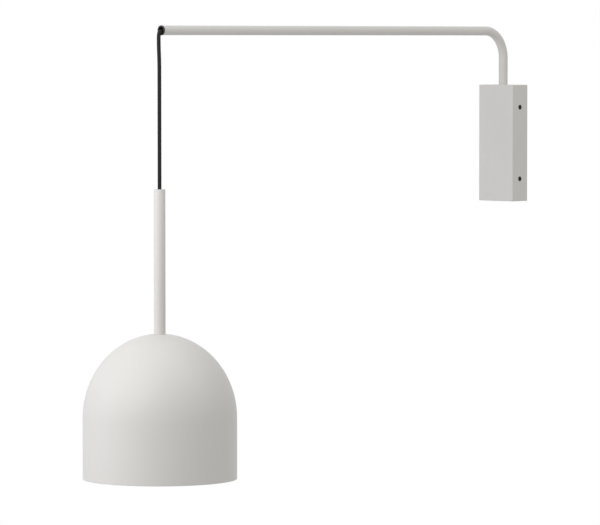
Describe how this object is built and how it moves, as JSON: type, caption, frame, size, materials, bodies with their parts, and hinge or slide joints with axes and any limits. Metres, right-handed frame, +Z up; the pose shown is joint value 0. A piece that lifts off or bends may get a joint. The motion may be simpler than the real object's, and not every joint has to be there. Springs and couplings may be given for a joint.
{
  "type": "hanging pendant wall sconce",
  "caption": "Wall light with a slim upright box, a bent tube arm that swivels, and a domed bell shade on a stem that hangs from the arm's tip on a short cord.",
  "frame": {"origin": "middle of the wall box's back face, on the wall plane", "axes": "+X out of the wall along the arm, +Z up, +Y to the side"},
  "size_m": [0.6327, 0.16, 0.4692],
  "materials": {
    "painted_metal": "fine matt powder coat, warm off-white",
    "zinc_plate": "zinc plated",
    "black_screw": "black oxide",
    "turned_steel": "turned, plated",
    "bush_bronze": "sintered bronze",
    "nylon": "natural nylon",
    "spring_steel": "hardened spring steel",
    "black_rubber": "soft satin",
    "cord_braid": "black textile braid",
    "holder_plastic": "moulded, satin",
    "ceramic": "glazed ceramic",
    "brass": "bright",
    "core_sleeve": "wire insulation",
    "bulb_insulation": "black glass",
    "bulb_cap_metal": "nickel plated",
    "bulb_collar": "moulded",
    "opal_globe": "opal",
    "led_board": "white solder mask",
    "block_plastic": "polyamide",
    "tinned_copper": "tinned",
    "live_sleeve": "wire insulation, brown",
    "neutral_sleeve": "wire insulation, blue",
    "earth_sleeve": "wire insulation, green and yellow"
  },
  "bodies": {
    "wall_box": {"wall_bracket": "zinc_plate", "box_body": "painted_metal", "side_screws_left": "black_screw", "side_screws_right": "black_screw", "pivot_housing": "turned_steel", "pivot_bush": "bush_bronze", "thrust_washers": "nylon", "stop_pin": "turned_steel", "box_cable": "cord_braid", "terminal_block": "block_plastic", "terminal_sleeves": "brass", "terminal_screws": "turned_steel", "block_screws": "turned_steel", "cord_clamp": "nylon", "clamp_screws": "turned_steel", "earth_ring": "tinned_copper", "earth_screw": "brass", "live_wire": "live_sleeve", "neutral_wire": "neutral_sleeve", "earth_wires": "earth_sleeve"},
    "arm": {"arm_tube": "painted_metal", "pivot_stub": "turned_steel", "stop_plate": "zinc_plate", "disc_spring": "spring_steel", "pivot_washer": "zinc_plate", "pivot_nut": "turned_steel", "lock_nut": "turned_steel", "arm_cable": "cord_braid", "tip_grommet": "black_rubber"},
    "cord_exit": {"cord_exit": "cord_braid"},
    "pendant": {"pendant_cord": "cord_braid", "stem_tube": "painted_metal", "stem_plug": "painted_metal", "cord_crimp": "turned_steel", "stem_cable": "cord_braid", "stem_nipple": "zinc_plate", "shade": "painted_metal", "shade_washer": "zinc_plate", "shade_nut": "zinc_plate", "holder_cap": "holder_plastic", "holder_grub_screw": "turned_steel", "holder_body": "holder_plastic", "holder_core": "ceramic", "holder_terminal_screws": "brass", "screw_shell": "brass", "centre_contact": "brass", "holder_wires": "core_sleeve", "bulb_tip": "brass", "bulb_insulator": "bulb_insulation", "bulb_base": "bulb_cap_metal", "bulb_collar": "bulb_collar", "bulb_globe": "opal_globe", "led_plate": "led_board"}
  },
  "joints": [
    {"name": "arm_swivel", "type": "hinge", "parent": "wall_box", "child": "arm", "pos_m": [0.0125, 0, 0.065], "axis": [0, 0, 1], "range_deg": [-80, 80]},
    {"name": "side_swing", "type": "hinge", "parent": "arm", "child": "cord_exit", "pos_m": [0.5527, 0, 0.1238], "axis": [1, 0, 0], "range_deg": [-45, 45], "deforming": ["pendant_cord"]},
    {"name": "wall_swing", "type": "hinge", "parent": "cord_exit", "child": "pendant", "pos_m": [0.5527, 0, 0.1238], "axis": [0, 1, 0], "range_deg": [-45, 45], "deforming": ["pendant_cord"]}
  ]
}
